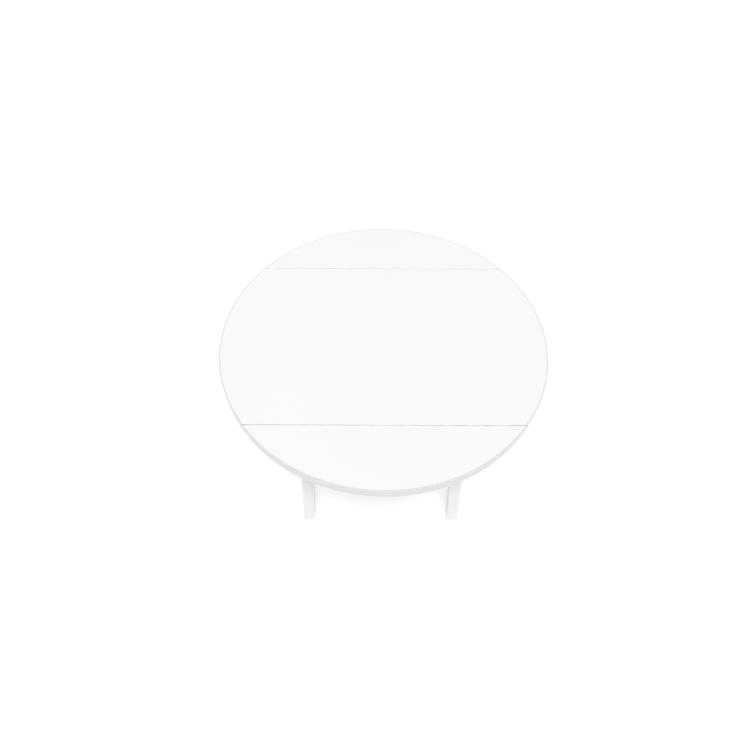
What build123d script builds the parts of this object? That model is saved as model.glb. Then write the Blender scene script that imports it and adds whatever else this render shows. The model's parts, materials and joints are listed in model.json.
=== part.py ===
from build123d import *
from math import radians, sqrt, tan
import os

# A round drop-leaf table: a centre panel and two leaves on four splayed legs.
# Millimetres. The origin is on the floor under the middle of the top, +Z is up, X runs
# along the seams of the top and -Y is the front. The leaves are up and the brackets are
# folded against the aprons.

# ---------------------------------------------------------------- driving dimensions

TABLE_DIAMETER = 1000.0
TABLE_HEIGHT = 750.0
TOP_THICKNESS = 35.0
SEAM_OFFSET = 302.5  # middle of each seam from the middle of the top
SEAM_GAP = 1.6
RIM_CHAMFER = 1.5
SEAM_ROUNDING = 1.0

LEG_SECTION = 41.0
LEG_SPLAY = 3.7  # degrees from upright, the same sideways and fore and aft
LEG_ROUNDING = 2.0
FOOT_REACH = 294.0  # outer faces of the legs at the floor, from the middle of the table

APRON_DEPTH = 75.0
APRON_THICKNESS = 20.0
APRON_SETBACK = 8.0  # behind the outer face of the leg, at the top
APRON_ROUNDING = 2.0  # along the bottom

GLIDE_RADIUS = 14.0
GLIDE_HEIGHT = 4.0
GLIDE_NAIL_RADIUS = 1.5
GLIDE_NAIL_LENGTH = 15.0

PLATE_SHEET = 2.5  # pressed steel corner plates
PLATE_WEB_START = 45.0  # from the apron corner to the bend
PLATE_WING = 32.0
PLATE_HEIGHT = 50.0
BOLT_RADIUS = 4.0
BOLT_LENGTH = 80.0
BOLT_IN_LEG = 34.0
WASHER_RADIUS = 9.0
WASHER_THICKNESS = 1.6
NUT_ACROSS_FLATS = 13.0
NUT_HEIGHT = 6.5

CLEAT_SECTION = 20.0
CLEAT_LENGTH = 220.0
SMALL_CHAMFER = 1.0  # on the cleats, brackets, knuckle blocks and stop blocks

HINGE_LENGTH = 75.0
HINGE_PLATE_WIDTH = 32.0
HINGE_PLATE_SHEET = 1.8
HINGE_PLATE_ROUNDING = 3.0
HINGE_AXIS_DROP = 3.3  # hinge axis below the underside of the top
HINGE_BARREL_RADIUS = 3.0
HINGE_PIN_RADIUS = 1.5
HINGE_KNUCKLES = 5
HINGE_NOTCH = 3.5  # from the axis to the plate behind the other plate's knuckles
HINGE_OFFSET = 262.0  # middle of each hinge from the middle of the seam

BRACKET_THICKNESS = 20.0
BRACKET_DEPTH = 50.0
BRACKET_REACH = 166.0  # from the pin to the tip
BRACKET_TIP_DEPTH = 20.0
BRACKET_OGEE_START = 66.0  # from the pin to where the underside starts to rise
BRACKET_TOP_GAP = 0.5  # under the leaf
BRACKET_APRON_GAP = 0.5
BRACKET_KNUCKLES = 5
BRACKET_PIN_RADIUS = 3.0
PIN_HEAD_RADIUS = 6.0
PIN_HEAD_HEIGHT = 2.0
PIVOT_OFFSET = 172.0  # bracket pins from the middle of the apron
BLOCK_END = 201.0  # outer end of a knuckle block from the middle of the apron
KNUCKLE_CLEARANCE = 0.3

STOP_WIDTH = 16.0
STOP_LENGTH = 40.0
STOP_HEIGHT = 12.0
STOP_ROUNDING = 3.0
STOP_START = 360.0  # near end of a stop block from the middle of the table
STOP_GAP = 0.5

SCREW_SHANK_RADIUS = 1.75
SCREW_HEAD_RADIUS = 3.5
PAN_HEAD_HEIGHT = 2.2
SCREW_CLEARANCE = 0.05
RUNNING_CLEARANCE = 0.05  # a pin in the knuckles that turn on it
RECESS_WIDTH = 1.0
RECESS_LENGTH = 3.8
RECESS_DEPTH = 1.1

# ---------------------------------------------------------------- derived dimensions

RADIUS = TABLE_DIAMETER / 2
UNDERSIDE = TABLE_HEIGHT - TOP_THICKNESS
APRON_BOTTOM = UNDERSIDE - APRON_DEPTH
LEG_SLOPE = tan(radians(LEG_SPLAY))


def leg_outer(height):
    """Outer face of a leg from the middle of the table, at a height above the floor."""
    return FOOT_REACH - height * LEG_SLOPE


def leg_middle(height):
    return leg_outer(height) - LEG_SECTION / 2


def leg_inner(height):
    return leg_outer(height) - LEG_SECTION


APRON_FACE = leg_outer(UNDERSIDE) - APRON_SETBACK
APRON_BACK = APRON_FACE - APRON_THICKNESS
BOLT_HEIGHT = (APRON_BOTTOM + UNDERSIDE) / 2
HINGE_AXIS = UNDERSIDE - HINGE_AXIS_DROP
PIVOT_LINE = APRON_FACE + BRACKET_APRON_GAP + BRACKET_THICKNESS / 2
BRACKET_TOP = UNDERSIDE - BRACKET_TOP_GAP
BRACKET_BOTTOM = BRACKET_TOP - BRACKET_DEPTH
SHOULDER = BRACKET_THICKNESS / 2 + KNUCKLE_CLEARANCE
HEAD_CONE = SCREW_HEAD_RADIUS - SCREW_SHANK_RADIUS
PILOT_RADIUS = SCREW_SHANK_RADIUS + SCREW_CLEARANCE

LEFT_RIGHT = ((-1, "left"), (1, "right"))
FRONT_BACK = ((-1, "front"), (1, "back"))
CORNERS = [(sx, sy, f"{ny}_{nx}") for sy, ny in FRONT_BACK for sx, nx in LEFT_RIGHT]

HINGE_PLACES = [(side_x * HINGE_OFFSET, x_name) for side_x, x_name in LEFT_RIGHT]
HINGE_SCREW_SPOTS = ((-27.0, 12.0), (0.0, 24.0), (27.0, 12.0))  # along and across a plate
HINGE_SCREW_LENGTH = 18.0
CLEAT_SCREW_SPOTS = (-85.0, 0.0, 85.0)
CLEAT_APRON_SPOTS = (-45.0, 45.0)
CLEAT_SCREW_LENGTH = 35.0
BLOCK_SCREW_HEIGHTS = (BRACKET_BOTTOM + 12, BRACKET_TOP - 12)
BLOCK_SCREW_LENGTH = 35.0
PLATE_SCREW_LENGTH = 15.0

SEATED = (Align.CENTER, Align.CENTER, Align.MIN)  # a solid that stands on its plane

os.makedirs("parts", exist_ok=True)


def save(piece, node):
    """Label a finished piece and write it as its own STEP file."""
    piece.part.label = node
    export_step(piece.part, f"parts/{node}.step")


# ---------------------------------------------------------------- fasteners and holes
# These are called inside a BuildPart block whose planes stand where the heads are, with
# the plane's normal pointing into the wood.


def countersunk_screw(length):
    """A countersunk screw with a cross recess, its head flush with the plane."""
    Cone(SCREW_HEAD_RADIUS, SCREW_SHANK_RADIUS, HEAD_CONE, align=SEATED)
    with Locations((0, 0, HEAD_CONE)):
        Cylinder(SCREW_SHANK_RADIUS, length - 2 * HEAD_CONE, align=SEATED)
    with Locations((0, 0, length - HEAD_CONE)):
        Cone(SCREW_SHANK_RADIUS, SCREW_SHANK_RADIUS / 4, HEAD_CONE, align=SEATED)
    Box(RECESS_LENGTH, RECESS_WIDTH, RECESS_DEPTH, align=SEATED, mode=Mode.SUBTRACT)
    Box(RECESS_WIDTH, RECESS_LENGTH, RECESS_DEPTH, align=SEATED, mode=Mode.SUBTRACT)


def pan_head_screw(length):
    """A screw whose round head stands on the plane."""
    Cylinder(SCREW_SHANK_RADIUS, length, align=SEATED)
    with Locations((0, 0, -PAN_HEAD_HEIGHT)):
        Cylinder(SCREW_HEAD_RADIUS, PAN_HEAD_HEIGHT, align=SEATED)
        Box(RECESS_LENGTH, RECESS_WIDTH, RECESS_DEPTH, align=SEATED, mode=Mode.SUBTRACT)
        Box(RECESS_WIDTH, RECESS_LENGTH, RECESS_DEPTH, align=SEATED, mode=Mode.SUBTRACT)


def drill(planes, radius, depth):
    """Cut a round hole into the part being built from each plane, along its normal."""
    with Locations(*planes):
        Cylinder(radius, depth, align=SEATED, mode=Mode.SUBTRACT)


def countersink(planes, depth):
    """Cut a countersunk screw hole from each plane, along its normal."""
    drill(planes, PILOT_RADIUS, depth)
    with Locations(*planes):
        head = SCREW_HEAD_RADIUS + SCREW_CLEARANCE
        Cone(head, PILOT_RADIUS, HEAD_CONE, align=SEATED, mode=Mode.SUBTRACT)


# ---------------------------------------------------------------- the round top


def hinge_screw_planes(side_y, towards_rim, height):
    """Upward planes at the hinge screws of one seam, on its rim side or its panel side."""
    across = side_y if towards_rim else -side_y
    return [
        Plane((x + along, side_y * SEAM_OFFSET + across * out, height))
        for x, _ in HINGE_PLACES
        for along, out in HINGE_SCREW_SPOTS
    ]


def ease_board_edges(board):
    """Take the sharp arrises off the rim and off the edges of the seams."""
    chamfer(board.edges().filter_by(GeomType.CIRCLE), RIM_CHAMFER)
    fillet(board.edges().filter_by(Axis.X), SEAM_ROUNDING)


with BuildPart() as centre_panel:
    with BuildSketch(Plane.XY.offset(UNDERSIDE)):
        Circle(RADIUS)
        Rectangle(TABLE_DIAMETER, 2 * SEAM_OFFSET - SEAM_GAP, mode=Mode.INTERSECT)
    extrude(amount=TOP_THICKNESS)
    ease_board_edges(centre_panel)
    cleat_line = APRON_BACK - CLEAT_SECTION / 2
    for side_x, _ in LEFT_RIGHT:
        cleat_holes = [Plane((side_x * cleat_line, y, UNDERSIDE)) for y in CLEAT_SCREW_SPOTS]
        drill(cleat_holes, PILOT_RADIUS, CLEAT_SCREW_LENGTH - CLEAT_SECTION + 1)
    for side_y, _ in FRONT_BACK:
        drill(hinge_screw_planes(side_y, False, UNDERSIDE), PILOT_RADIUS, HINGE_SCREW_LENGTH)
save(centre_panel, "centre_panel")

for side_y, y_name in FRONT_BACK:
    with BuildPart() as leaf:
        seam_edge = SEAM_OFFSET + SEAM_GAP / 2
        with BuildSketch(Plane.XY.offset(UNDERSIDE)):
            Circle(RADIUS)
            with Locations((0, side_y * (seam_edge + RADIUS / 2))):
                Rectangle(TABLE_DIAMETER, RADIUS, mode=Mode.INTERSECT)
        extrude(amount=TOP_THICKNESS)
        ease_board_edges(leaf)
        drill(hinge_screw_planes(side_y, True, UNDERSIDE), PILOT_RADIUS, HINGE_SCREW_LENGTH)
    save(leaf, f"{y_name}_leaf")

# ---------------------------------------------------------------- legs and foot glides


def bolt_plane(side_x, side_y, distance):
    """A plane across a corner's bolt, at a distance from the table's middle axis."""
    reach = distance / sqrt(2)
    return Plane(
        (side_x * reach, side_y * reach, BOLT_HEIGHT),
        x_dir=(0, 0, 1),
        z_dir=(-side_x, -side_y, 0),
    )


BOLT_START = leg_inner(BOLT_HEIGHT) * sqrt(2) + BOLT_IN_LEG

for side_x, side_y, corner in CORNERS:
    foot = Plane((side_x * leg_middle(GLIDE_HEIGHT), side_y * leg_middle(GLIDE_HEIGHT), GLIDE_HEIGHT))
    rise = UNDERSIDE - GLIDE_HEIGHT
    lean = (-side_x * LEG_SLOPE * rise, -side_y * LEG_SLOPE * rise, rise)
    with BuildPart() as leg:
        with BuildSketch(foot):
            RectangleRounded(LEG_SECTION, LEG_SECTION, LEG_ROUNDING)
        extrude(amount=Vector(lean).length, dir=lean)
        drill([foot], GLIDE_NAIL_RADIUS + SCREW_CLEARANCE, GLIDE_NAIL_LENGTH + 1)
        drill([bolt_plane(side_x, side_y, BOLT_START)], BOLT_RADIUS + SCREW_CLEARANCE, BOLT_LENGTH)
    save(leg, f"leg_{corner}")

    with BuildPart() as glide:
        with BuildSketch(Plane(foot.origin - Vector(0, 0, GLIDE_HEIGHT))):
            Circle(GLIDE_RADIUS)
        extrude(amount=GLIDE_HEIGHT)
        fillet(glide.edges().sort_by(Axis.Z)[0], GLIDE_HEIGHT / 2)
        with BuildSketch(foot):
            Circle(GLIDE_NAIL_RADIUS)
        extrude(amount=GLIDE_NAIL_LENGTH)
    save(glide, f"foot_glide_{corner}")

# ---------------------------------------------------------------- aprons


def apron_outline():
    """The face of an apron: its ends lean with the legs that they stand against."""
    low, high = leg_inner(APRON_BOTTOM), leg_inner(UNDERSIDE)
    Polygon(
        (-low, APRON_BOTTOM),
        (low, APRON_BOTTOM),
        (high, UNDERSIDE),
        (-high, UNDERSIDE),
        align=None,
    )


def block_screw_planes(side_y):
    """Planes at the screws of the two knuckle blocks of one apron, pointing inwards."""
    middle = (BLOCK_END + PIVOT_OFFSET + SHOULDER) / 2
    face = side_y * (PIVOT_LINE + BRACKET_THICKNESS / 2)
    return [
        Plane((side_x * middle, face, height), x_dir=(0, 0, 1), z_dir=(0, -side_y, 0))
        for side_x, _ in LEFT_RIGHT
        for height in BLOCK_SCREW_HEIGHTS
    ]


def cleat_apron_planes(side_x):
    """Planes at the sideways screws of a cleat, pointing out into its apron."""
    face = side_x * (APRON_BACK - CLEAT_SECTION)
    height = UNDERSIDE - CLEAT_SECTION / 2
    return [
        Plane((face, y, height), x_dir=(0, 0, 1), z_dir=(side_x, 0, 0))
        for y in CLEAT_APRON_SPOTS
    ]


def plate_screw_planes(side_x, side_y, into_front):
    """Planes at the two screws of one wing of a corner plate, pointing into the apron."""
    along = APRON_BACK - PLATE_WEB_START - PLATE_WING / 2 - PLATE_SHEET
    face = APRON_BACK - PLATE_SHEET
    planes = []
    for height in (BOLT_HEIGHT - PLATE_HEIGHT / 4, BOLT_HEIGHT + PLATE_HEIGHT / 4):
        if into_front:
            spot, normal = (side_x * along, side_y * face, height), (0, side_y, 0)
        else:
            spot, normal = (side_x * face, side_y * along, height), (side_x, 0, 0)
        planes.append(Plane(spot, x_dir=(0, 0, 1), z_dir=normal))
    return planes


for side_y, y_name in FRONT_BACK:
    with BuildPart() as apron:
        with BuildSketch(Plane((0, side_y * APRON_FACE, 0), x_dir=(1, 0, 0), z_dir=(0, -1, 0))):
            apron_outline()
        extrude(amount=side_y * APRON_THICKNESS)
        fillet(apron.edges().filter_by(Axis.X).group_by(Axis.Z)[0], APRON_ROUNDING)
        drill(block_screw_planes(side_y), PILOT_RADIUS, BLOCK_SCREW_LENGTH + 1)
        for side_x, _ in LEFT_RIGHT:
            drill(plate_screw_planes(side_x, side_y, True), PILOT_RADIUS, PLATE_SCREW_LENGTH + 1)
    save(apron, f"apron_{y_name}")

for side_x, x_name in LEFT_RIGHT:
    with BuildPart() as apron:
        with BuildSketch(Plane((side_x * APRON_FACE, 0, 0), x_dir=(0, 1, 0), z_dir=(1, 0, 0))):
            apron_outline()
        extrude(amount=-side_x * APRON_THICKNESS)
        fillet(apron.edges().filter_by(Axis.Y).group_by(Axis.Z)[0], APRON_ROUNDING)
        drill(cleat_apron_planes(side_x), PILOT_RADIUS, CLEAT_SCREW_LENGTH + 1)
        for side_y, _ in FRONT_BACK:
            drill(plate_screw_planes(side_x, side_y, False), PILOT_RADIUS, PLATE_SCREW_LENGTH + 1)
    save(apron, f"apron_{x_name}")

# ---------------------------------------------------------------- corner plates and bolts

for side_x, side_y, corner in CORNERS:
    bend = PLATE_WEB_START
    inner_bend = bend + PLATE_SHEET * tan(radians(22.5))
    end = bend + PLATE_WING
    outline = [
        (end, 0),
        (bend, 0),
        (0, bend),
        (0, end),
        (PLATE_SHEET, end),
        (PLATE_SHEET, inner_bend),
        (inner_bend, PLATE_SHEET),
        (end, PLATE_SHEET),
    ]
    with BuildPart() as plate:
        with BuildSketch(Plane.XY.offset(BOLT_HEIGHT - PLATE_HEIGHT / 2)):
            Polygon(
                *[(side_x * (APRON_BACK - u), side_y * (APRON_BACK - v)) for u, v in outline],
                align=None,
            )
        extrude(amount=PLATE_HEIGHT)
        drill([bolt_plane(side_x, side_y, BOLT_START)], BOLT_RADIUS + SCREW_CLEARANCE, BOLT_LENGTH)
        for into_front in (True, False):
            drill(plate_screw_planes(side_x, side_y, into_front), PILOT_RADIUS, PLATE_SHEET + 1)
    save(plate, f"corner_plate_{corner}")

plate_screw_places = [
    plane
    for side_x, side_y, _ in CORNERS
    for into_front in (True, False)
    for plane in plate_screw_planes(side_x, side_y, into_front)
]
with BuildPart(*plate_screw_places) as corner_plate_screws:
    pan_head_screw(PLATE_SCREW_LENGTH)
save(corner_plate_screws, "corner_plate_screws")

WEB_FACE = (2 * APRON_BACK - PLATE_WEB_START) / sqrt(2) - PLATE_SHEET


def bolt_planes(distance):
    return [bolt_plane(side_x, side_y, distance) for side_x, side_y, _ in CORNERS]


with BuildPart(*bolt_planes(BOLT_START)) as leg_bolts:
    Cylinder(BOLT_RADIUS, BOLT_LENGTH, align=SEATED)
    chamfer(leg_bolts.edges().filter_by(GeomType.CIRCLE), BOLT_RADIUS / 4)
save(leg_bolts, "leg_bolts")

with BuildPart() as leg_washers:
    with BuildSketch(*bolt_planes(WEB_FACE)):
        Circle(WASHER_RADIUS)
        Circle(BOLT_RADIUS + SCREW_CLEARANCE, mode=Mode.SUBTRACT)
    extrude(amount=WASHER_THICKNESS)
save(leg_washers, "leg_washers")

with BuildPart() as leg_nuts:
    with BuildSketch(*bolt_planes(WEB_FACE - WASHER_THICKNESS)):
        RegularPolygon(NUT_ACROSS_FLATS / 2, 6, major_radius=False)
        Circle(BOLT_RADIUS + SCREW_CLEARANCE, mode=Mode.SUBTRACT)
    extrude(amount=NUT_HEIGHT)
save(leg_nuts, "leg_nuts")

# ---------------------------------------------------------------- cleats under the top


def cleat_top_planes(side_x):
    """Upward planes at the screws that run through a cleat into the centre panel."""
    line = side_x * (APRON_BACK - CLEAT_SECTION / 2)
    return [Plane((line, y, UNDERSIDE - CLEAT_SECTION)) for y in CLEAT_SCREW_SPOTS]


for side_x, x_name in LEFT_RIGHT:
    with BuildPart() as cleat:
        with BuildSketch(Plane.XY.offset(UNDERSIDE - CLEAT_SECTION)):
            with Locations((side_x * (APRON_BACK - CLEAT_SECTION / 2), 0)):
                Rectangle(CLEAT_SECTION, CLEAT_LENGTH)
        extrude(amount=CLEAT_SECTION)
        chamfer(cleat.edges().group_by(Axis.Z)[0], SMALL_CHAMFER)
        countersink(cleat_top_planes(side_x), CLEAT_SECTION)
        countersink(cleat_apron_planes(side_x), CLEAT_SECTION)
    save(cleat, f"cleat_{x_name}")

cleat_screw_places = [
    plane
    for side_x, _ in LEFT_RIGHT
    for plane in cleat_top_planes(side_x) + cleat_apron_planes(side_x)
]
with BuildPart(*cleat_screw_places) as cleat_screws:
    countersunk_screw(CLEAT_SCREW_LENGTH)
save(cleat_screws, "cleat_screws")

# ---------------------------------------------------------------- hinges


def hinge_plate(x_middle, side_y, is_leaf_plate):
    """Half a butt hinge: a plate under the board and the knuckles rolled from its edge."""
    outwards = side_y if is_leaf_plate else -side_y
    pitch = HINGE_LENGTH / HINGE_KNUCKLES
    start = x_middle - HINGE_LENGTH / 2
    seam = side_y * SEAM_OFFSET
    reach = HINGE_PLATE_WIDTH - HINGE_NOTCH
    plate_bottom = UNDERSIDE - HINGE_PLATE_SHEET
    bore = HINGE_PIN_RADIUS + (RUNNING_CLEARANCE if is_leaf_plate else 0)
    with BuildSketch(Plane.XY.offset(plate_bottom)) as sheet:
        with Locations((x_middle, seam + outwards * (HINGE_NOTCH + reach / 2))):
            RectangleRounded(HINGE_LENGTH, reach, HINGE_PLATE_ROUNDING)
    extrude(sheet.sketch, amount=HINGE_PLATE_SHEET)
    for knuckle in range(1 if is_leaf_plate else 0, HINGE_KNUCKLES, 2):
        left = start + knuckle * pitch
        across = Plane((left, seam, HINGE_AXIS), x_dir=(0, 1, 0), z_dir=(1, 0, 0))
        with BuildSketch(across) as roll:
            Circle(HINGE_BARREL_RADIUS)
            with Locations((outwards * HINGE_NOTCH, HINGE_AXIS_DROP - HINGE_PLATE_SHEET / 2)):
                Rectangle(2 * HINGE_NOTCH, HINGE_PLATE_SHEET)
            Circle(bore, mode=Mode.SUBTRACT)
        is_last = knuckle == HINGE_KNUCKLES - 1
        extrude(roll.sketch, amount=pitch - (0 if is_last else KNUCKLE_CLEARANCE))


for side_y, y_name in FRONT_BACK:
    for x_middle, x_name in HINGE_PLACES:
        for is_leaf_plate, half in ((False, "panel"), (True, "leaf")):
            spots = [
                Plane(plane.origin)
                for plane in hinge_screw_planes(side_y, is_leaf_plate, UNDERSIDE - HINGE_PLATE_SHEET)
                if abs(plane.origin.X - x_middle) < HINGE_LENGTH / 2
            ]
            with BuildPart() as plate:
                hinge_plate(x_middle, side_y, is_leaf_plate)
                countersink(spots, HINGE_PLATE_SHEET)
            save(plate, f"hinge_{y_name}_{x_name}_{half}_plate")

    with BuildPart() as pins:
        for x_middle, _ in HINGE_PLACES:
            start = (x_middle - HINGE_LENGTH / 2, side_y * SEAM_OFFSET, HINGE_AXIS)
            with BuildSketch(Plane(start, x_dir=(0, 1, 0), z_dir=(1, 0, 0))):
                Circle(HINGE_PIN_RADIUS)
            extrude(amount=HINGE_LENGTH)
    save(pins, f"hinge_pins_{y_name}")

    with BuildPart(*hinge_screw_planes(side_y, True, UNDERSIDE - HINGE_PLATE_SHEET)) as screws:
        countersunk_screw(HINGE_SCREW_LENGTH)
    save(screws, f"hinge_screws_{y_name}_leaf")

panel_screw_places = [
    plane
    for side_y, _ in FRONT_BACK
    for plane in hinge_screw_planes(side_y, False, UNDERSIDE - HINGE_PLATE_SHEET)
]
with BuildPart(*panel_screw_places) as hinge_screws_panel:
    countersunk_screw(HINGE_SCREW_LENGTH)
save(hinge_screws_panel, "hinge_screws_panel")

# ---------------------------------------------------------------- swinging brackets


def knuckle_levels(first):
    """Low and high ends of every second knuckle, counted from the bottom."""
    pitch = BRACKET_DEPTH / BRACKET_KNUCKLES
    for level in range(first, BRACKET_KNUCKLES, 2):
        low = BRACKET_BOTTOM + level * pitch
        is_last = level == BRACKET_KNUCKLES - 1
        yield low, low + pitch - (0 if is_last else KNUCKLE_CLEARANCE)


def knuckles(first, pivot, towards, bore):
    """Every second knuckle round a pin, joined to the wood on one side of it."""
    for low, high in knuckle_levels(first):
        with BuildSketch(Plane.XY.offset(low)) as knuckle:
            with Locations(pivot):
                Circle(BRACKET_THICKNESS / 2)
            with Locations((pivot[0] + towards * SHOULDER / 2, pivot[1])):
                Rectangle(SHOULDER, BRACKET_THICKNESS)
        extrude(knuckle.sketch, amount=high - low)
    drill([Plane((pivot[0], pivot[1], BRACKET_BOTTOM))], bore, BRACKET_DEPTH)


for side_x, side_y, corner in CORNERS:
    pivot = (side_x * PIVOT_OFFSET, side_y * PIVOT_LINE)

    with BuildPart() as bracket:
        upright = Plane((pivot[0], pivot[1], 0), x_dir=(-side_x, 0, 0), z_dir=(0, side_x, 0))
        with BuildSketch(upright):
            with BuildLine():
                tip_low = (BRACKET_REACH, BRACKET_TOP - BRACKET_TIP_DEPTH)
                ogee_end = (BRACKET_OGEE_START, BRACKET_BOTTOM)
                ogee_middle = ((tip_low[0] + ogee_end[0]) / 2, (tip_low[1] + ogee_end[1]) / 2)
                upper = TangentArc(tip_low, ogee_middle, tangent=(-1, 0))
                TangentArc(ogee_middle, ogee_end, tangent=upper % 1)
                Polyline(
                    ogee_end,
                    (SHOULDER, BRACKET_BOTTOM),
                    (SHOULDER, BRACKET_TOP),
                    (BRACKET_REACH, BRACKET_TOP),
                    tip_low,
                )
            make_face()
        extrude(amount=BRACKET_THICKNESS / 2, both=True)
        outline_edges = bracket.faces().filter_by(Axis.Y).edges()
        free_edges = [
            edge for edge in outline_edges if abs(edge.center().X - pivot[0]) > SHOULDER + 1
        ]
        chamfer(free_edges, SMALL_CHAMFER)
        knuckles(1, pivot, -side_x, BRACKET_PIN_RADIUS + RUNNING_CLEARANCE)
    save(bracket, f"bracket_{corner}")

    with BuildPart() as block:
        near = PIVOT_OFFSET + SHOULDER
        wide = BRACKET_THICKNESS + BRACKET_APRON_GAP
        with BuildSketch(Plane.XY.offset(BRACKET_BOTTOM)):
            with Locations((side_x * (near + BLOCK_END) / 2, side_y * (APRON_FACE + wide / 2))):
                Rectangle(BLOCK_END - near, wide)
        extrude(amount=BRACKET_DEPTH)
        outer_edge = block.edges().filter_by(Axis.Z).sort_by(SortBy.DISTANCE)[-1]
        chamfer(outer_edge, SMALL_CHAMFER)
        knuckles(0, pivot, side_x, BRACKET_PIN_RADIUS)
        own_screws = [
            plane for plane in block_screw_planes(side_y) if plane.origin.X * side_x > 0
        ]
        countersink(own_screws, wide)
    save(block, f"bracket_block_{corner}")

    with BuildPart() as pin:
        with BuildSketch(Plane((pivot[0], pivot[1], BRACKET_BOTTOM))):
            Circle(BRACKET_PIN_RADIUS)
        extrude(amount=BRACKET_DEPTH)
        with BuildSketch(Plane((pivot[0], pivot[1], BRACKET_BOTTOM - PIN_HEAD_HEIGHT))):
            Circle(PIN_HEAD_RADIUS)
        extrude(amount=PIN_HEAD_HEIGHT)
        fillet(pin.edges().sort_by(Axis.Z)[0], PIN_HEAD_HEIGHT * 0.6)
    save(pin, f"bracket_pin_{corner}")

block_screw_places = [
    plane for side_y, _ in FRONT_BACK for plane in block_screw_planes(side_y)
]
with BuildPart(*block_screw_places) as bracket_block_screws:
    countersunk_screw(BLOCK_SCREW_LENGTH)
save(bracket_block_screws, "bracket_block_screws")

for side_y, y_name in FRONT_BACK:
    with BuildPart() as stops:
        stop_x = PIVOT_OFFSET + BRACKET_THICKNESS / 2 + STOP_GAP + STOP_WIDTH / 2
        with BuildSketch(Plane.XY.offset(UNDERSIDE - STOP_HEIGHT)):
            with Locations(
                (-stop_x, side_y * (STOP_START + STOP_LENGTH / 2)),
                (stop_x, side_y * (STOP_START + STOP_LENGTH / 2)),
            ):
                RectangleRounded(STOP_WIDTH, STOP_LENGTH, STOP_ROUNDING)
        extrude(amount=STOP_HEIGHT)
        chamfer(stops.edges().group_by(Axis.Z)[0], SMALL_CHAMFER)
    save(stops, f"leaf_stops_{y_name}")
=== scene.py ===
import json
import math

import bmesh
import bpy
from mathutils import Matrix, Vector


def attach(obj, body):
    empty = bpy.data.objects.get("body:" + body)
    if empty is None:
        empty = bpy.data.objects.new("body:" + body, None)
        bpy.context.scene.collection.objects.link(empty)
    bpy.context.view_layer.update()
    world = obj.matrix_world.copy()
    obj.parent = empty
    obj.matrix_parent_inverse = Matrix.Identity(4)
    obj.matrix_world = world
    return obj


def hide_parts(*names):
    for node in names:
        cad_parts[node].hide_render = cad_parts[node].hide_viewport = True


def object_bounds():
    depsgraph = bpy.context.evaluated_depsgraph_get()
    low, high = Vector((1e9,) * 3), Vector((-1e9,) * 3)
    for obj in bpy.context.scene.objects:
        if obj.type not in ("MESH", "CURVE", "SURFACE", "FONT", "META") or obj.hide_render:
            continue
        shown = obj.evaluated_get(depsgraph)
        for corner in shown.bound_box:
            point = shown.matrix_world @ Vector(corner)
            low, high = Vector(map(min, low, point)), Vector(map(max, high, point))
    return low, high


# A round white drop-leaf table on a pale studio floor. Metres, in the frame of the CAD model:
# the origin is on the floor under the middle of the top, +Z is up, X runs along the seams and
# -Y is the front. The boards, the legs and the fittings are the CAD nodes with their
# finishes; the threaded hanger bolts and the studio are made here.

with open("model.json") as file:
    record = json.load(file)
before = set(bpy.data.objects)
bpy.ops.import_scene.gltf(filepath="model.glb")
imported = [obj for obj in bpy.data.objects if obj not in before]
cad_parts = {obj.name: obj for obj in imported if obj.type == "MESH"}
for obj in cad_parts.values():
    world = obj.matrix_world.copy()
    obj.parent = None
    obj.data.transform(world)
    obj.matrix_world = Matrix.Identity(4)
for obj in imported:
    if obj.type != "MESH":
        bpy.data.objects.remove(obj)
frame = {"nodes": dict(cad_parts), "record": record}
cad_box = [list(corner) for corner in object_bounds()]

# ---------------------------------------------------------------- camera and studio

CAMERA_AZIMUTH = math.radians(-1.80)
CAMERA_ELEVATION = math.radians(51.75)
CAMERA_DISTANCE = 1.7855
CAMERA_PAN = -0.0131  # this and the tilt: aim off the middle, as a share of the distance
CAMERA_TILT = -0.0622
CAMERA_ROLL = math.radians(0.62)
CAMERA_LENS = 27.84
CAMERA_SENSOR = 36.0

FLOOR_SIZE = 40.0
FLOOR_ALBEDO = 0.30
FLOOR_GLOW = 0.74

KEY_FROM = (0.03, -0.33, 0.94)
KEY_STRENGTH = 2.74
KEY_SOFTNESS = math.radians(9)

# Strengths of the sky, and the ranges of a direction's Y or Z in which one fades to the next.
HORIZON = 1.02
FRONT_SKY = 0.45
SIDE_SKY = 0.18
HIGH_SKY = 0.22
FRONT_TO_SIDE = (-0.9, 0.1)
LOW_TO_HIGH = (0.35, 0.85)
HORIZON_TO_SKY = (0.04, 0.50)

WHITE = (1, 1, 1, 1)
UP = Vector((0, 0, 1))
TOP_MIDDLE = Vector((0, 0, cad_box[1][2]))


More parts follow.
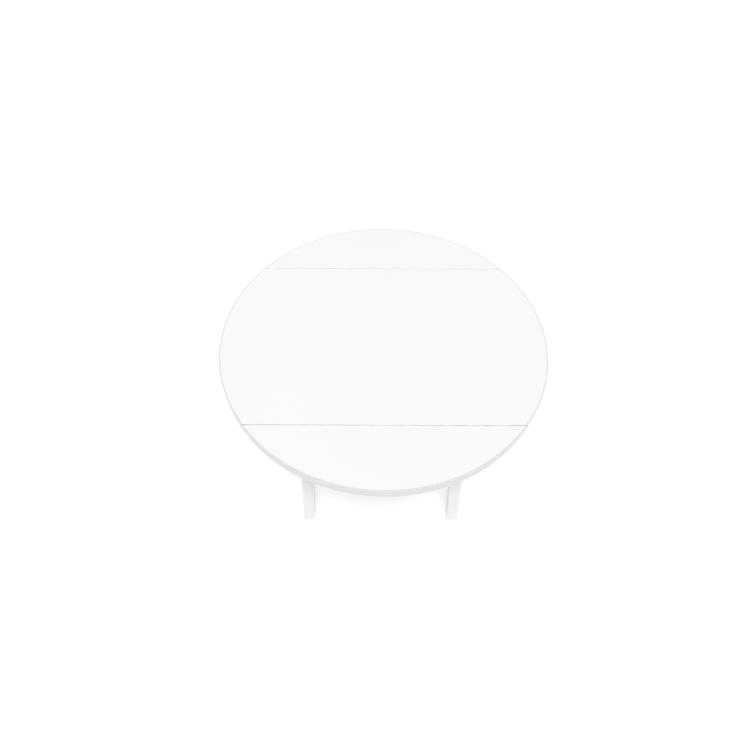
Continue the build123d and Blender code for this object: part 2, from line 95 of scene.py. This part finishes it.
class Graph:
    """A shader node tree under construction, with short calls for the nodes that recur."""

    def __init__(self, owner):
        owner.use_nodes = True
        self.nodes = owner.node_tree.nodes
        self.links = owner.node_tree.links

    def feed(self, socket, value):
        """Link an output to an input, or set the input to a number or a tuple."""
        if isinstance(value, bpy.types.NodeSocket):
            self.links.new(value, socket)
        else:
            socket.default_value = value

    def split(self, vector):
        """The X, Y and Z of a vector."""
        node = self.nodes.new("ShaderNodeSeparateXYZ")
        self.links.new(vector, node.inputs[0])
        return node.outputs

    def math(self, operation, a, b=0.0):
        node = self.nodes.new("ShaderNodeMath")
        node.operation = operation
        self.feed(node.inputs[0], a)
        self.feed(node.inputs[1], b)
        return node.outputs[0]

    def sum(self, *values):
        total = values[0]
        for value in values[1:]:
            total = self.math("ADD", total, value)
        return total

    def spread(self, value, low, high, to_low=0.0, to_high=1.0):
        """Map a range of values onto another, smoothly and without leaving it."""
        node = self.nodes.new("ShaderNodeMapRange")
        node.interpolation_type = "SMOOTHSTEP"
        self.links.new(value, node.inputs["Value"])
        node.inputs["From Min"].default_value = low
        node.inputs["From Max"].default_value = high
        node.inputs["To Min"].default_value = to_low
        node.inputs["To Max"].default_value = to_high
        return node.outputs["Result"]


def make_camera():
    """A camera on an orbit round the middle of the top, aimed a little off it and rolled."""
    flat = math.cos(CAMERA_ELEVATION)
    out = Vector((
        math.sin(CAMERA_AZIMUTH) * flat,
        -math.cos(CAMERA_AZIMUTH) * flat,
        math.sin(CAMERA_ELEVATION),
    ))
    side = (-out).cross(UP).normalized()
    aim = (-out + CAMERA_PAN * side + CAMERA_TILT * side.cross(-out)).normalized()
    side = aim.cross(UP).normalized()
    up = side.cross(aim)
    rolled_side = math.cos(CAMERA_ROLL) * side + math.sin(CAMERA_ROLL) * up
    rolled_up = rolled_side.cross(aim)
    data = bpy.data.cameras.new("camera")
    data.lens = CAMERA_LENS
    data.sensor_width = CAMERA_SENSOR
    camera = bpy.data.objects.new("camera", data)
    turn = Matrix((rolled_side, rolled_up, -aim)).transposed().to_4x4()
    camera.matrix_world = Matrix.Translation(TOP_MIDDLE + CAMERA_DISTANCE * out) @ turn
    bpy.context.scene.collection.objects.link(camera)
    bpy.context.scene.camera = camera


def make_key_light():
    """A soft key light high above the front, which shades the legs under the rim."""
    data = bpy.data.lights.new("key", "SUN")
    data.energy = KEY_STRENGTH
    data.angle = KEY_SOFTNESS
    key = bpy.data.objects.new("key", data)
    key.rotation_euler = Vector(KEY_FROM).to_track_quat("Z", "Y").to_euler()
    bpy.context.scene.collection.objects.link(key)


def make_world():
    """A dome that is white at the horizon, and above it brighter in front than elsewhere."""
    world = bpy.data.worlds.new("studio")
    bpy.context.scene.world = world
    graph = Graph(world)

    def fade(start, end, share):
        change = graph.math("SUBTRACT", end, start)
        return graph.math("ADD", start, graph.math("MULTIPLY", share, change))

    direction = graph.split(graph.nodes.new("ShaderNodeTexCoord").outputs["Generated"])
    wall = graph.spread(direction["Y"], *FRONT_TO_SIDE, FRONT_SKY, SIDE_SKY)
    sky = fade(wall, HIGH_SKY, graph.spread(direction["Z"], *LOW_TO_HIGH))
    haze = graph.spread(direction["Z"], *HORIZON_TO_SKY, to_low=1.0, to_high=0.0)
    glow = fade(sky, HORIZON, haze)
    background = graph.nodes["Background"]
    graph.links.new(glow, background.inputs["Strength"])
    background.inputs["Color"].default_value = WHITE


def make_floor():
    """White paper that glows a little, so that it stays as white as the horizon."""
    mesh = bpy.data.meshes.new("floor")
    half = FLOOR_SIZE / 2
    corners = [(-half, -half, 0), (half, -half, 0), (half, half, 0), (-half, half, 0)]
    mesh.from_pydata(corners, [], [(0, 1, 2, 3)])
    floor = bpy.data.objects.new("floor", mesh)
    bpy.context.scene.collection.objects.link(floor)
    material = bpy.data.materials.new("floor_paper")
    material.use_nodes = True
    shader = material.node_tree.nodes["Principled BSDF"]
    shader.inputs["Base Color"].default_value = (FLOOR_ALBEDO,) * 3 + (1,)
    shader.inputs["Roughness"].default_value = 1.0
    shader.inputs["Specular IOR Level"].default_value = 0.0
    shader.inputs["Emission Color"].default_value = WHITE
    shader.inputs["Emission Strength"].default_value = FLOOR_GLOW
    mesh.materials.append(material)


def make_studio():
    """The world, the floor and the key light, shown without a film curve."""
    bpy.context.scene.view_settings.view_transform = "Standard"
    make_world()
    make_floor()
    make_key_light()


# ---------------------------------------------------------------- material building


class Paint(Graph):
    """A material under construction, with its object coordinates (place) and normals (turned).

    Its roughness is the plain one that the export reads; each finish links a varied one.
    """

    def __init__(self, name, roughness, metallic=0.0):
        self.material = bpy.data.materials.new(name)
        super().__init__(self.material)
        self.shader = self.nodes["Principled BSDF"]
        self.shader.inputs["Roughness"].default_value = roughness
        self.shader.inputs["Metallic"].default_value = metallic
        coordinates = self.nodes.new("ShaderNodeTexCoord")
        self.place = coordinates.outputs["Object"]
        self.turned = coordinates.outputs["Normal"]

    def stretched(self, scale, lean=(0.0, 0.0)):
        """Object coordinates scaled by axis; lean keeps a grain parallel to a leaning leg."""
        place = self.place
        if any(lean):
            straight = self.split(place)
            join = self.nodes.new("ShaderNodeCombineXYZ")
            for axis, slope in zip("XY", lean):
                shift = self.math("MULTIPLY", straight["Z"], slope)
                self.links.new(self.sum(shift, straight[axis]), join.inputs[axis])
            self.links.new(straight["Z"], join.inputs["Z"])
            place = join.outputs[0]
        mapping = self.nodes.new("ShaderNodeMapping")
        self.links.new(place, mapping.inputs["Vector"])
        mapping.inputs["Scale"].default_value = scale
        return mapping.outputs[0]

    def noise(self, vector, scale, detail, roughness=0.5, distortion=0.0):
        """Noise from 0 to 1; scale is the number of its cells in a metre."""
        node = self.nodes.new("ShaderNodeTexNoise")
        self.links.new(vector, node.inputs["Vector"])
        node.inputs["Scale"].default_value = scale
        node.inputs["Detail"].default_value = detail
        node.inputs["Roughness"].default_value = roughness
        node.inputs["Distortion"].default_value = distortion
        return node.outputs["Fac"]

    def blend(self, amount, a, b):
        """Colour a where the amount is 0 and colour b where it is 1."""
        node = self.nodes.new("ShaderNodeMix")
        node.data_type = "RGBA"
        self.feed(node.inputs["Factor"], amount)
        self.feed(node.inputs["A"], a)
        self.feed(node.inputs["B"], b)
        return node.outputs["Result"]

    def bump(self, height, distance, strength=1.0, under=None):
        """A normal from a height; distance is the depth of the relief in metres."""
        node = self.nodes.new("ShaderNodeBump")
        node.inputs["Distance"].default_value = distance
        node.inputs["Strength"].default_value = strength
        self.links.new(height, node.inputs["Height"])
        if under is not None:
            self.links.new(under, node.inputs["Normal"])
        return node.outputs["Normal"]

    def set(self, **sockets):
        """Set shader sockets by name, with underscores for the spaces."""
        for name, value in sockets.items():
            self.feed(self.shader.inputs[name.replace("_", " ")], value)
        return self.material


def grey(value, warmth):
    """A grey that leans towards yellow by a small amount."""
    return (value * (1 + warmth), value, value * (1 - warmth), 1.0)


# ---------------------------------------------------------------- finishes

MOST_OF_NOISE = (0.3, 0.7)  # the range that most values of a noise lie in

LACQUER = (grey(0.878, 0.001), grey(0.886, 0.002))  # the clouds go from one to the other
# Painted shade: a dark line round the rim, standing in for the shading where the top turns over
# its edge.
RIM_PAINTED_SHADE = grey(0.70, 0.002)
# Painted shade: the colour of the board's upright edge faces, darker than the lacquer on its
# top.
EDGE_PAINTED_SHADE = grey(0.658, 0.002)
LACQUER_SPECK = grey(0.74, 0.01)
RIM_SHADE_RADII = (0.4950, 0.4968)  # the painted shade along the rim fades in between them
EDGE_RADII = (0.490, 0.495)  # keeps the edges at the seams white
EDGE_NORMAL = (0.60, 0.98)  # |Z| of the normal, from the rim's edge to the flat top

PAINT_TONE = 0.762

EARLY_WOOD = (0.66, 0.46, 0.25, 1)
LATE_WOOD = (0.42, 0.24, 0.10, 1)
WOOD_PORES = (0.36, 0.21, 0.09, 1)
PINE_GRAIN = (1.0, 0.05, 1.0)

# Scales that draw a noise out along an axis.
ALONG_X = (0.04, 1.0, 1.0)
ALONG_Y = (1.0, 0.04, 1.0)
ALONG_Z = (1.0, 1.0, 0.04)
ROLLING_MARKS = (0.12, 1.0, 1.0)
SCUFFS = (1.0, 1.0, 3.0)


def lacquered_board(name):
    """Sprayed white lacquer on board: fine orange peel and soft gloss, with painted shade as a
    dark line round the rim and on the darker upright edge.
    """
    paint = Paint(name, roughness=0.33)
    place = paint.split(paint.place)
    squares = [paint.math("MULTIPLY", place[axis], place[axis]) for axis in "XY"]
    radius_squared = paint.sum(*squares)

    def beyond(radii):
        return paint.spread(radius_squared, radii[0] ** 2, radii[1] ** 2)

    cloudy = paint.noise(paint.place, scale=2.5, detail=2.0)
    colour = paint.blend(paint.spread(cloudy, *MOST_OF_NOISE), *LACQUER)
    # Painted shade: the outermost radii of the board are coloured darker, as a dark line round
    # the rim.
    colour = paint.blend(beyond(RIM_SHADE_RADII), colour, RIM_PAINTED_SHADE)
    # Painted shade: faces near the rim whose normal is upright, not flat, are coloured darker.
    facing = paint.math("ABSOLUTE", paint.split(paint.turned)["Z"])
    upright = paint.spread(facing, *EDGE_NORMAL, to_low=1.0, to_high=0.0)
    edge = paint.math("MULTIPLY", upright, beyond(EDGE_RADII))
    colour = paint.blend(edge, colour, EDGE_PAINTED_SHADE)
    specks = paint.spread(paint.noise(paint.place, scale=950.0, detail=1.0), 0.74, 0.80)
    colour = paint.blend(paint.math("MULTIPLY", specks, 0.15), colour, LACQUER_SPECK)
    handled = paint.noise(paint.place, scale=5.0, detail=3.0, roughness=0.55)
    fine = paint.noise(paint.place, scale=420.0, detail=2.0)
    peel = paint.noise(paint.place, scale=300.0, detail=2.0, roughness=0.4)
    return paint.set(
        Base_Color=colour,
        Roughness=paint.sum(
            paint.spread(handled, 0.35, 0.70, to_low=0.30, to_high=0.35),
            paint.spread(fine, *MOST_OF_NOISE, to_low=-0.015, to_high=0.015),
        ),
        Normal=paint.bump(peel, distance=0.00003),
        Coat_Weight=0.2,
        Coat_Roughness=0.15,
    )


def painted_wood(name, grain, lean=(0.0, 0.0)):
    """White paint on solid wood: the grain shows through it as fine ridges."""
    paint = Paint(name, roughness=0.42)
    along = paint.stretched(grain, lean)
    fibres = paint.noise(along, scale=320.0, detail=4.0, roughness=0.6)
    bands = paint.noise(along, scale=60.0, detail=3.0, roughness=0.55, distortion=0.4)
    cloudy = paint.noise(paint.place, scale=12.0, detail=2.0)
    streaks = paint.sum(
        paint.math("MULTIPLY", paint.spread(fibres, 0.35, 0.7), 0.5),
        paint.math("MULTIPLY", paint.spread(bands, 0.35, 0.7), 0.5),
    )
    clouds = paint.spread(cloudy, 0.4, 0.8, to_low=0.0, to_high=0.35)
    colour = paint.blend(streaks, grey(PAINT_TONE, 0.003), grey(PAINT_TONE * 0.955, 0.006))
    colour = paint.blend(clouds, colour, grey(PAINT_TONE * 0.975, 0.005))
    ridges = paint.bump(fibres, distance=0.00010, strength=0.8)
    relief = paint.bump(bands, distance=0.00022, strength=0.8, under=ridges)
    brush_marks = paint.noise(paint.place, scale=150.0, detail=2.0)
    return paint.set(
        Base_Color=colour,
        Roughness=paint.sum(
            paint.spread(bands, *MOST_OF_NOISE, to_low=0.36, to_high=0.46),
            paint.spread(fibres, *MOST_OF_NOISE, to_low=-0.03, to_high=0.03),
        ),
        Normal=paint.bump(brush_marks, distance=0.00005, under=relief),
    )


def bare_pine(name):
    """Planed softwood: straight early and late wood bands, fine pores and a dry surface."""
    paint = Paint(name, roughness=0.62)
    along = paint.stretched(PINE_GRAIN)
    rings = paint.nodes.new("ShaderNodeTexWave")
    rings.wave_type = "RINGS"
    rings.rings_direction = "Y"
    paint.links.new(along, rings.inputs["Vector"])
    rings.inputs["Scale"].default_value = 55.0
    rings.inputs["Distortion"].default_value = 3.5
    rings.inputs["Detail"].default_value = 3.0
    rings.inputs["Detail Scale"].default_value = 1.4
    late = paint.spread(rings.outputs["Fac"], 0.35, 0.95)
    pores = paint.noise(along, scale=900.0, detail=3.0, roughness=0.6)
    dark_pores = paint.spread(pores, 0.45, 0.75, to_low=0.0, to_high=0.4)
    height = paint.sum(paint.math("MULTIPLY", late, 0.6), paint.math("MULTIPLY", pores, 0.4))
    return paint.set(
        Base_Color=paint.blend(dark_pores, paint.blend(late, EARLY_WOOD, LATE_WOOD), WOOD_PORES),
        Roughness=paint.spread(pores, *MOST_OF_NOISE, to_low=0.55, to_high=0.70),
        Normal=paint.bump(height, distance=0.00018),
    )


def plated_steel(name, tone, roughness, tint=0.0):
    """Plated pressed steel: a cloudy passivated skin over fine rolling marks."""
    paint = Paint(name, roughness, metallic=1.0)
    cloud = paint.noise(paint.place, scale=70.0, detail=4.0, roughness=0.6)
    marks = paint.noise(paint.stretched(ROLLING_MARKS), scale=1400.0, detail=2.0)
    stain = paint.noise(paint.place, scale=240.0, detail=3.0)
    dark = (tone * 0.82, tone * 0.83, tone * 0.85, 1)
    light = (tone * (1 + tint), tone, tone * (1 - tint), 1)
    stained = (tone * 0.6, tone * 0.58, tone * 0.54, 1)
    colour = paint.blend(paint.spread(cloud, *MOST_OF_NOISE), dark, light)
    stains = paint.spread(stain, 0.62, 0.80, to_low=0.0, to_high=0.5)
    return paint.set(
        Base_Color=paint.blend(stains, colour, stained),
        Roughness=paint.sum(
            paint.spread(cloud, *MOST_OF_NOISE, to_low=roughness * 1.2, to_high=roughness * 0.8),
            paint.spread(marks, *MOST_OF_NOISE, to_low=-0.05, to_high=0.05),
        ),
        Normal=paint.bump(marks, distance=0.00002),
    )


def moulded_plastic(name):
    """White moulded plastic with a spark-eroded grain and scuffs where it meets the floor."""
    paint = Paint(name, roughness=0.5)
    grain = paint.noise(paint.place, scale=1600.0, detail=2.0)
    scuff = paint.noise(paint.stretched(SCUFFS), scale=180.0, detail=4.0, roughness=0.65)
    scuffs = paint.spread(scuff, 0.55, 0.80, to_low=0.0, to_high=0.6)
    return paint.set(
        Base_Color=paint.blend(scuffs, grey(0.78, 0.01), grey(0.52, 0.03)),
        Roughness=paint.spread(scuff, 0.4, 0.8, to_low=0.45, to_high=0.62),
        Normal=paint.bump(grain, distance=0.00004),
    )


# ---------------------------------------------------------------- finishes on the nodes

SIDES = {"left": -1, "right": 1, "front": -1, "back": 1}
LEG_SLOPE = math.tan(math.radians(3.7))


def frame_finish(node):
    """The painted wood of one node, with its grain along the length of the piece."""
    material_name = f"paint_{node}"
    if node.startswith("leg_"):
        depth_side, width_side = node.split("_")[1:]
        lean = (SIDES[width_side] * LEG_SLOPE, SIDES[depth_side] * LEG_SLOPE)
        return painted_wood(material_name, ALONG_Z, lean)
    if node.startswith(("apron_left", "apron_right", "leaf_stops")):
        return painted_wood(material_name, ALONG_Y)
    if node.startswith("bracket_block"):
        return painted_wood(material_name, ALONG_Z)
    return painted_wood(material_name, ALONG_X)


def finish_nodes():
    """Give every CAD node its finish, by its material slot in the record."""
    shared = {
        "white_board": lacquered_board("white_lacquer"),
        "bare_pine": bare_pine("bare_pine"),
        "zinc_steel": plated_steel("zinc_steel", tone=0.62, roughness=0.38, tint=0.02),
        "bright_steel": plated_steel("bright_steel", tone=0.72, roughness=0.28),
        "glide_plastic": moulded_plastic("glide_plastic"),
    }
    for row in frame["record"]["subparts"]:
        name, slot = row["node"], row["material_slot"]
        material = shared[slot] if slot in shared else frame_finish(name)
        materials = frame["nodes"][name].data.materials
        materials.clear()
        materials.append(material)
    return shared


# ---------------------------------------------------------------- threaded hanger bolts

THREAD_PITCH = 0.00125
THREAD_DEPTH = 0.0006
THREAD_LENGTH = 0.030  # from the end that carries the nut
THREAD_ROWS = 8  # rings of vertices in one turn
THREAD_SIDES = 28  # vertices in one ring
THREAD_SHARP = math.radians(40)
BOLT_RADIUS = 0.004
SHANK_RADIUS = 0.0036
POINT_RADIUS = 0.0030  # at the very end, where the thread is chamfered


def bolt_radius(along, turn):
    """Radius of a hanger bolt at a distance from its nut end and at a share of a turn."""
    if along > THREAD_LENGTH:
        return SHANK_RADIUS
    phase = (along / THREAD_PITCH - turn) % 1.0
    ridge = BOLT_RADIUS - THREAD_DEPTH * abs(2 * phase - 1)
    return min(ridge, POINT_RADIUS + along)


def bolt_vertices(outward, near, far, height):
    """Rings of vertices from the nut end of a bolt, at near along outward, to its far end."""
    across = outward.cross(UP)
    step = THREAD_PITCH / THREAD_ROWS
    rows = [step * index for index in range(int(THREAD_LENGTH / step) + 2)]
    vertices = []
    for along in rows + [far - near]:
        for side in range(THREAD_SIDES):
            turn = side / THREAD_SIDES
            angle = 2 * math.pi * turn
            spoke = math.cos(angle) * across + math.sin(angle) * UP
            middle = (near + along) * outward + height * UP
            vertices.append(middle + bolt_radius(along, turn) * spoke)
    return vertices


def bolt_faces(first, count):
    """The faces of a closed tube of rings, for count vertices from the one numbered first."""
    last = first + count - THREAD_SIDES
    faces = []
    for ring in range(first, last, THREAD_SIDES):
        after = ring + THREAD_SIDES
        for side in range(THREAD_SIDES):
            beside = (side + 1) % THREAD_SIDES
            faces.append((ring + side, after + side, after + beside, ring + beside))
    faces.append(tuple(range(first, first + THREAD_SIDES)))
    faces.append(tuple(reversed(range(last, last + THREAD_SIDES))))
    return faces


def make_bolts(material):
    """The four hanger bolts with real threads, in the places of the CAD ones."""
    cad = [vertex.co for vertex in frame["nodes"]["leg_bolts"].data.vertices]
    height = (min(co.z for co in cad) + max(co.z for co in cad)) / 2
    vertices, faces = [], []
    for side_x in (-1, 1):
        for side_y in (-1, 1):
            outward = Vector((side_x, side_y, 0)).normalized()
            reaches = [co.dot(outward) for co in cad if co.x * side_x > 0 and co.y * side_y > 0]
            bolt = bolt_vertices(outward, min(reaches), max(reaches), height)
            faces += bolt_faces(len(vertices), len(bolt))
            vertices += bolt
    mesh = bpy.data.meshes.new("threaded_bolts")
    mesh.from_pydata(vertices, [], faces)
    builder = bmesh.new()
    builder.from_mesh(mesh)
    bmesh.ops.recalc_face_normals(builder, faces=builder.faces)
    builder.to_mesh(mesh)
    builder.free()
    mesh.shade_smooth()
    mesh.set_sharp_from_angle(angle=THREAD_SHARP)
    mesh.materials.append(material)
    bolts = bpy.data.objects.new("threaded_bolts", mesh)
    bpy.context.scene.collection.objects.link(bolts)
    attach(bolts, "table")
    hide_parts("leg_bolts")


make_camera()
make_studio()
shared_finishes = finish_nodes()
make_bolts(shared_finishes["bright_steel"])
